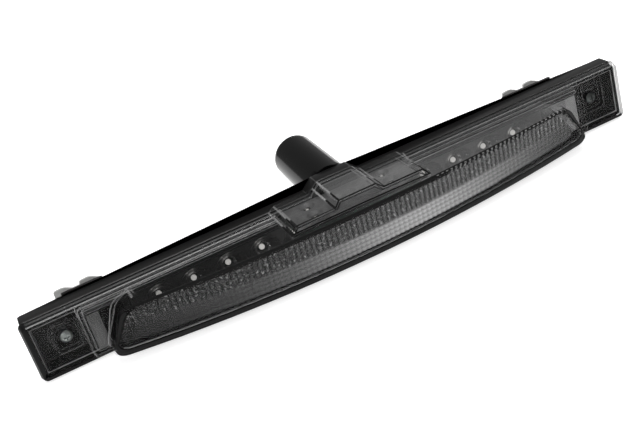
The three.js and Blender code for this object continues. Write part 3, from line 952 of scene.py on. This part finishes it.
@dataclass
class LensAssembly:
    """Clear lens, its black border and the ribbed optic behind it.

    end_outline gives the optic's half width, as a share of its widest, at shares of its height.
    """

    rounding_mm: float = 0.65
    border_rounding_mm: float = 0.4
    bezel_rounding_mm: float = 0.35
    rib_pitch_mm: float = 3.5
    rib_depth_mm: float = 0.9
    step_pitch_mm: float = 3.2
    step_depth_mm: float = 0.7
    columns: int = 640
    rows: int = 34
    sheet_mm: float = 1.4
    face_gap_mm: float = 2.2
    top_gap_mm: float = 0.4
    bottom_rise_mm: float = 2.1
    top_drop_mm: float = 1.9
    lean: float = 0.18
    end_outline: tuple[tuple[float, float], ...] = (
        (0.0, 0.968), (0.06, 0.988), (0.14, 0.996), (0.2, 1.0), (0.45, 0.977), (0.66, 0.956),
        (0.78, 0.942), (0.88, 0.922), (0.95, 0.897), (1.0, 0.865))

    def build(self) -> None:
        """Make and hang every piece of the lens."""
        lens = RoundedCopy("outer_lens", self.rounding_mm).build("clear_lens", LENS, LENS_EDGE)
        settle(lens, Body.LAMP, ("outer_lens",))
        border = RoundedCopy("lower_border", self.border_rounding_mm).build("black_border", BORDER)
        settle(border, Body.LAMP, ("lower_border",))
        settle(self.ribs(), Body.LAMP, ("prism_lens",))
        bezel = RoundedCopy("inner_bezel", self.bezel_rounding_mm).build("black_bezel", BEZEL, BEZEL_HIGHLIGHT)
        settle(bezel, Body.LAMP, ("inner_bezel",))

    def ribs(self) -> bpy.types.Object:
        """Bowed sheet with upright flutes, and level steps in its lower half.

        Returns:
            The ribbed optic.
        """
        low, high = (Vector(corner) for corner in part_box("prism_lens"))
        sizes = {
            "Half width": high.x, "Bottom": low.z, "Top": high.z - self.top_gap_mm * MM, "Front": low.y,
            "Bow": FRONT_BOW / (BOW_SPAN * BOW_SPAN), "Lean": self.lean,
            "Rib pitch": self.rib_pitch_mm * MM, "Rib depth": self.rib_depth_mm * MM,
            "Step pitch": self.step_pitch_mm * MM, "Step depth": self.step_depth_mm * MM,
            "Sheet": self.sheet_mm * MM,
        }
        recipe = Recipe("ribbed_optic", sizes, PRISM)
        grid = recipe.add("GeometryNodeMeshGrid", None, {
            "Size X": 2.0, "Size Y": 1.0, "Vertices X": self.columns, "Vertices Y": self.rows})
        across, up, _ = recipe.axes()
        bottom, top = recipe.size("Bottom"), recipe.size("Top")
        share = up + 0.5
        base = bottom + (across ** 2.0) * (self.bottom_rise_mm * MM)
        height = share * (top - base) + base
        outline = recipe.node("ShaderNodeFloatCurve", None, {"Value": share})
        curve = outline.mapping.curves[0]
        while len(curve.points) < len(self.end_outline):
            curve.points.new(0.5, 0.5)
        for point, (up_share, half_share) in zip(curve.points, self.end_outline):
            point.location = (up_share, half_share)
            point.handle_type = "VECTOR"
        outline.mapping.update()
        x = across * Value(recipe, outline.outputs[0]) * recipe.size("Half width")
        flutes = ((x / recipe.size("Rib pitch")) * math.pi).sine().size() * recipe.size("Rib depth")
        lower = (0.5 - share).above(0.0)
        steps = ((height / recipe.size("Step pitch")).wrapped() * recipe.size("Step depth")) * lower
        bow = x * x * recipe.size("Bow")
        y = recipe.size("Front") + bow + (top - height) * recipe.size("Lean") - flutes - steps
        y = y + self.face_gap_mm * MM
        drop = x * x * (self.top_drop_mm * MM / (BOW_SPAN * BOW_SPAN))
        front = recipe.moved(grid, recipe.point(x, y, height - drop * share))
        shift = recipe.point(0.0, recipe.size("Sheet"), 0.0)
        raised = recipe.node("GeometryNodeExtrudeMesh", {"mode": "FACES"}, {
            "Mesh": front, "Offset": shift, "Offset Scale": 1.0, "Individual": False})
        turned = recipe.add("GeometryNodeFlipFaces", None, {"Mesh": raised.outputs[0]})
        join = recipe.node("GeometryNodeJoinGeometry")
        recipe.feed(join.inputs[0], front)
        recipe.feed(join.inputs[0], turned)
        closed = recipe.add("GeometryNodeMergeByDistance", None, {0: join.outputs[0], "Distance": 1e-6})
        piece = recipe.build(closed, 60.0)
        face_out(piece)
        return piece


def face_out(piece: bpy.types.Object) -> None:
    """Turn a closed piece's faces outwards.

    Args:
        piece: The object; its mesh is changed.
    """
    shape = bmesh.new()
    shape.from_mesh(piece.data)
    bmesh.ops.recalc_face_normals(shape, faces=shape.faces)
    shape.to_mesh(piece.data)
    shape.free()


# ---------------------------------------------------------------- the light unit


@dataclass
class LightUnit:
    """Reflector with its cups, emitters, boards and their parts.

    throat is where a cup's lining starts, as a share of its radius.
    """

    cups: int = 12
    crown_emitters: int = 6
    pitch_mm: float = 23.9
    cup_radius_mm: float = 11.4
    cup_depth_mm: float = 9.2
    cup_floor_mm: float = 1.7
    throat: float = 0.28
    foil_mm: float = 0.12
    dome_radius_mm: float = 1.9
    crown_dome_radius_mm: float = 1.2

    def build(self) -> None:
        """Make and hang every piece of the light unit."""
        dress(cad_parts["main_reflector"], MIRROR)
        dress(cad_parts["crown_reflector"], TRAY)
        settle(self.bowls(), Body.LAMP)
        front = [self.spot(f"led_{index:02d}", 1) for index in range(1, self.cups + 1)]
        domes = self.domes("emitter_domes", front, self.dome_radius_mm, DOME)
        settle(domes, Body.LAMP)
        crown = [self.spot(f"crown_led_{index}", 2) for index in range(1, self.crown_emitters + 1)]
        domes = self.domes("crown_domes", crown, self.crown_dome_radius_mm, CROWN_DOME)
        settle(domes, Body.LAMP)
        for name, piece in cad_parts.items():
            if name in ("main_board", "crown_board"):
                dress(piece, BOARD)
            elif name.startswith(("led_", "crown_led_")):
                dress(piece, EMITTER)
            elif name.startswith(("resistor_", "driver_", "input_")):
                dress(piece, CHIP)
            elif name.startswith("board_screw_"):
                dress(piece, ZINC)

    def bowls(self) -> bpy.types.Object:
        """Smooth mirror linings of the cups, a turned parabola copied along the lamp.

        Returns:
            All the linings as one piece.
        """
        back = Vector(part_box("main_reflector")[1]).y
        sizes = {"Pitch": self.pitch_mm * MM, "Radius": self.cup_radius_mm * MM,
                 "Depth": self.cup_depth_mm * MM, "Floor": back - self.cup_floor_mm * MM,
                 "Height": middle("led_01").z}
        recipe = Recipe("reflector_linings", sizes, CUP_MIRROR)
        grid = recipe.add("GeometryNodeMeshGrid", None, {
            "Size X": 1.0, "Size Y": 1.0, "Vertices X": 49, "Vertices Y": 9})
        across, up, _ = recipe.axes()
        angle = (across + 0.5) * math.tau
        share = (up + 0.5) * (1.0 - self.throat) + self.throat
        radius = share * recipe.size("Radius")
        depth = share * share * recipe.size("Depth")
        place = recipe.point(radius * angle.cosine(), 0.0 - depth, radius * angle.sine())
        bowl = recipe.moved(grid, place)
        foil = recipe.point(0.0, -self.foil_mm * MM, 0.0)
        shell = recipe.add("GeometryNodeExtrudeMesh", {"mode": "FACES"}, {
            "Mesh": bowl, "Offset": foil, "Offset Scale": 1.0, "Individual": False})
        join = recipe.node("GeometryNodeJoinGeometry")
        recipe.feed(join.inputs[0], bowl)
        recipe.feed(join.inputs[0], shell)
        closed = recipe.add("GeometryNodeMergeByDistance", None, {0: join.outputs[0], "Distance": 1e-6})
        first = recipe.size("Pitch") * (-(self.cups - 1) / 2)
        start = recipe.point(first, recipe.size("Floor"), recipe.size("Height"))
        stride = recipe.point(recipe.size("Pitch"), 0.0, 0.0)
        line = recipe.add("GeometryNodeMeshLine", {"mode": "OFFSET"}, {
            "Count": self.cups, "Start Location": start, "Offset": stride})
        piece = recipe.build(recipe.copies(line, closed))
        face_out(piece)
        return piece

    @staticmethod
    def spot(node: str, axis: int) -> Vector:
        """Place of an emitter's dome.

        Args:
            node: The emitter.
            axis: The axis it looks along: 1 for out of the lens, 2 for up.

        Returns:
            The middle of the emitter's face.
        """
        low, high = (Vector(corner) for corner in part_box(node))
        place = (low + high) / 2
        place[axis] = low.y - 0.0003 if axis == 1 else high.z + 0.0003
        return place

    def domes(self, name: str, places: list[Vector], radius_mm: float, finish: Any) -> bpy.types.Object:
        """Small clear domes, a ball copied to every emitter of a row.

        Args:
            name: The new object's name.
            places: Middles of the balls.
            radius_mm: Radius of a ball.
            finish: The finish of the balls.

        Returns:
            All the domes as one piece.
        """
        recipe = Recipe(name, {"Radius": radius_mm * MM}, finish)
        ball = recipe.add("GeometryNodeMeshUVSphere", None, {
            "Segments": 16, "Rings": 10, "Radius": recipe.size("Radius")})
        return recipe.build(recipe.copies(recipe.spots(places), ball))


# ---------------------------------------------------------------- housing, spout, screws and clips


@dataclass
class Rear:
    """Rear housing, wiring spout, seals, screws and clips.

    The spout's outer and inner profiles are radius and reach along its axis, in millimetres, from
    spout_root, and its root is cut off flat at spout_seat_mm. The head's dome and taper and the
    recess's arms are shares of the head's own sizes.
    """

    housing_rounding_mm: float = 0.45
    clip_rounding_mm: float = 0.35
    gasket_rounding_mm: float = 0.3
    terminals: int = 3
    head_radius_mm: float = 4.0
    head_height_mm: float = 2.6
    head_dome: float = 0.62
    head_taper: float = 0.08
    recess_length: float = 0.98
    recess_width: float = 0.2
    shank_radius_mm: float = 2.0
    thread_pitch_mm: float = 1.4
    thread_root: float = 0.86
    thread_height: float = 0.28
    spout_turns: int = 96
    spout_lean_deg: float = 3.0
    spout_root: tuple[float, float, float] = (0.0, -0.002, 0.012)
    spout_seat_mm: float = -1.7
    spout_outer: tuple[tuple[float, float], ...] = (
        (16.6, -1.0), (16.6, 1.2), (16.55, 6.0), (16.3, 20.0), (16.0, 42.0), (15.65, 62.5),
        (15.6, 65.0), (15.3, 65.7), (14.8, 66.0))
    spout_inner: tuple[tuple[float, float], ...] = (
        (14.0, 66.0), (13.5, 65.6), (13.4, 65.0), (13.9, 40.0), (14.4, 16.0), (14.4, -1.0))

    def build(self) -> None:
        """Make and hang every piece behind the lens."""
        rounded = RoundedCopy("rear_housing", self.housing_rounding_mm)
        housing = rounded.build("black_housing", SATIN, NEST_LINE)
        settle(housing, Body.LAMP, ("rear_housing",))
        settle(self.spout(), Body.LAMP, ("wiring_spout",))
        settle(self.screws(), Body.LAMP, ("mounting_screw_left", "mounting_screw_right"))
        for side, body in (("left", Body.CLIP_LEFT), ("right", Body.CLIP_RIGHT)):
            rounded = RoundedCopy(f"spring_clip_{side}", self.clip_rounding_mm)
            clip = rounded.build(f"clip_{side}_moulding", CLIP_GREY)
            settle(clip, body, (f"spring_clip_{side}",))
        rounded = RoundedCopy("panel_gasket", self.gasket_rounding_mm, angle=50.0)
        gasket = rounded.build("foam_gasket", FOAM)
        settle(gasket, Body.LAMP, ("panel_gasket",))
        for node in ("lens_seal", "vent_cap_left", "vent_cap_right"):
            dress(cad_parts[node], RUBBER)
        dress(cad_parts["connector_body"], BLACK)
        for index in range(1, self.terminals + 1):
            dress(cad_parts[f"terminal_pin_{index}"], TIN)

    def spout(self) -> bpy.types.Object:
        """Round tapered tube with rolled lips, turned about its own leaning axis.

        Returns:
            The spout.
        """
        root = Vector(self.spout_root)
        lean = math.radians(self.spout_lean_deg)
        along = Vector((0.0, math.cos(lean), math.sin(lean)))
        side = Vector((1.0, 0.0, 0.0))
        upright = along.cross(side) * -1.0
        shape = bmesh.new()
        rings = []
        for radius, reach in self.spout_outer + self.spout_inner:
            ring = []
            for turn in range(self.spout_turns):
                angle = math.tau * turn / self.spout_turns
                offset = side * math.cos(angle) + upright * math.sin(angle)
                place = root + along * (reach * MM) + offset * (radius * MM)
                place.y = max(place.y, self.spout_seat_mm * MM)
                ring.append(shape.verts.new(place))
            rings.append(ring)
        for first, second in zip(rings, rings[1:] + rings[:1]):
            for turn in range(self.spout_turns):
                after = (turn + 1) % self.spout_turns
                shape.faces.new((first[turn], first[after], second[after], second[turn]))
        bmesh.ops.recalc_face_normals(shape, faces=shape.faces)
        mesh = bpy.data.meshes.new("wiring_tube")
        shape.to_mesh(mesh)
        shape.free()
        piece = linked("wiring_tube", mesh)
        dress(piece, BLACK)
        smooth(piece, 40.0)
        return piece

    def screws(self) -> bpy.types.Object:
        """Domed pan heads with a cross recess on threaded shanks, copied to both ends.

        Returns:
            Both screws as one piece.
        """
        low, high = (Vector(corner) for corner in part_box("mounting_screw_left"))
        places = [Vector((middle(f"mounting_screw_{word}").x, low.y, middle(f"mounting_screw_{word}").z))
                  for word in ("left", "right")]
        sizes = {"Head radius": self.head_radius_mm * MM, "Head height": self.head_height_mm * MM,
                 "Shank radius": self.shank_radius_mm * MM, "Length": high.y - low.y,
                 "Pitch": self.thread_pitch_mm * MM}
        recipe = Recipe("cross_head_screws", sizes, ZINC)
        radius, tall = recipe.size("Head radius"), recipe.size("Head height")
        disc = recipe.add("GeometryNodeMeshCylinder", {"fill_type": "TRIANGLE_FAN"}, {
            "Vertices": 40, "Side Segments": 6, "Fill Segments": 7, "Radius": radius, "Depth": tall})
        x, y, z = recipe.axes()
        away = (x * x + y * y) ** 0.5 / radius
        front = (z / tall + 0.5).at_least(0.0)
        swell = (front * (1.0 - away * away * self.head_dome)) * tall
        narrow = 1.0 - (front ** 4.0) * self.head_taper
        head = recipe.moved(disc, recipe.point(x * narrow, 0.0 - swell + tall, y * narrow))
        arms = []
        arm = (self.recess_length, self.recess_width)
        for wide, high_arm in (arm, arm[::-1]):
            bar = recipe.add("GeometryNodeMeshCube", None, {
                "Size": recipe.point(radius * wide, tall * 1.1, radius * high_arm)})
            arms.append(recipe.add("GeometryNodeTransform", None, {
                0: bar, "Translation": recipe.point(0.0, tall * 0.12, 0.0)}))
        cutters = recipe.node("GeometryNodeJoinGeometry")
        for bar in arms:
            recipe.feed(cutters.inputs[0], bar)
        cut = recipe.node("GeometryNodeMeshBoolean", {"operation": "DIFFERENCE", "solver": "EXACT"}, {
            "Mesh 1": head, "Mesh 2": cutters.outputs[0]})
        cut.inputs["Self Intersection"].default_value = True
        shank = recipe.add("GeometryNodeMeshCylinder", None, {
            "Vertices": 24, "Side Segments": 90, "Fill Segments": 1,
            "Radius": recipe.size("Shank radius"), "Depth": recipe.size("Length") - tall})
        x, y, z = recipe.axes()
        spiral = recipe.add("ShaderNodeMath", {"operation": "ARCTAN2"}, {0: y, 1: x}) / math.tau
        turns = (z / recipe.size("Pitch") + spiral).wrapped()
        ridge = self.thread_root + (turns - 0.5).size() * self.thread_height
        tip = 1.0 - ((z / (recipe.size("Length") - tall) - 0.42).at_least(0.0) * 7.0)
        body = recipe.moved(shank, recipe.point(
            x * ridge * tip, z + (recipe.size("Length") + tall) * 0.5, y * ridge * tip))
        whole = recipe.node("GeometryNodeJoinGeometry")
        recipe.feed(whole.inputs[0], cut.outputs[0])
        recipe.feed(whole.inputs[0], body)
        piece = recipe.build(recipe.copies(recipe.spots(places), Value(recipe, whole.outputs[0])), 35.0)
        face_out(piece)
        return piece


# ---------------------------------------------------------------- studio


@dataclass
class Studio:
    """Plain pale floor, soft lights and the camera.

    Each light has a name, a place, a side in metres and a power in watts, and looks at the lamp.
    """

    focal_mm: float = 59.73
    sensor_mm: float = 36.0
    place: tuple[float, float, float] = (-0.1811, -0.6067, 0.3126)
    turn: tuple[float, float, float] = (62.373, 15.450, -23.441)
    floor_z: float = -0.0215
    floor_glow: float = 0.75
    sky: float = 0.35
    lights: tuple[tuple[str, tuple[float, float, float], float, float], ...] = (
        ("overhead", (0.1, 0.1, 1.2), 0.7, 8.0),
        ("left_front", (-1.1, -0.9, 0.8), 0.5, 4.0),
        ("right_back", (1.0, 0.9, 0.9), 1.0, 1.6))

    def build(self) -> None:
        """Set up the floor, lights, sky and camera."""
        self.floor()
        for name, place, size, power in self.lights:
            self.light(name, place, size, power)
        world = bpy.data.worlds.new("soft_studio")
        bpy.context.scene.world = world
        world.use_nodes = True
        background = world.node_tree.nodes["Background"]
        background.inputs["Color"].default_value = grey(1.0)
        background.inputs["Strength"].default_value = self.sky
        bpy.context.scene.view_settings.view_transform = "Standard"
        data = bpy.data.cameras.new("camera")
        data.lens = self.focal_mm
        data.sensor_width = self.sensor_mm
        data.clip_start = 0.01
        camera = bpy.data.objects.new("camera", data)
        camera.location = self.place
        camera.rotation_euler = [math.radians(angle) for angle in self.turn]
        bpy.context.scene.collection.objects.link(camera)
        bpy.context.scene.camera = camera

    def floor(self) -> None:
        """Wide pale floor under the lamp."""
        shade = Shade("pale_floor")
        shade.set(Base_Color=grey(0.95), Roughness=0.9)
        shade.set(Emission_Color=grey(1.0), Emission_Strength=self.floor_glow)
        shape = bmesh.new()
        bmesh.ops.create_grid(shape, x_segments=4, y_segments=4, size=6.0)
        mesh = bpy.data.meshes.new("floor")
        shape.to_mesh(mesh)
        shape.free()
        piece = linked("floor", mesh)
        mesh.transform(Matrix.Translation((0.0, 0.0, self.floor_z)))
        mesh.materials.append(shade.material)

    @staticmethod
    def light(name: str, place: tuple[float, float, float], size: float, power: float) -> None:
        """Add one soft square light that looks at the lamp.

        Args:
            name: The light's name.
            place: Where it hangs.
            size: Its side in metres.
            power: Its power in watts.
        """
        data = bpy.data.lights.new(name, "AREA")
        data.shape = "SQUARE"
        data.size = size
        data.energy = power
        lamp = bpy.data.objects.new(name, data)
        lamp.location = place
        lamp.rotation_euler = (-Vector(place)).to_track_quat("-Z", "Y").to_euler()
        bpy.context.scene.collection.objects.link(lamp)


def main() -> None:
    """Build every sub-assembly."""
    logging.basicConfig(level=logging.INFO, format="%(message)s")
    LensAssembly().build()
    LightUnit().build()
    Rear().build()
    Studio().build()


if __name__ == "__main__":
    main()
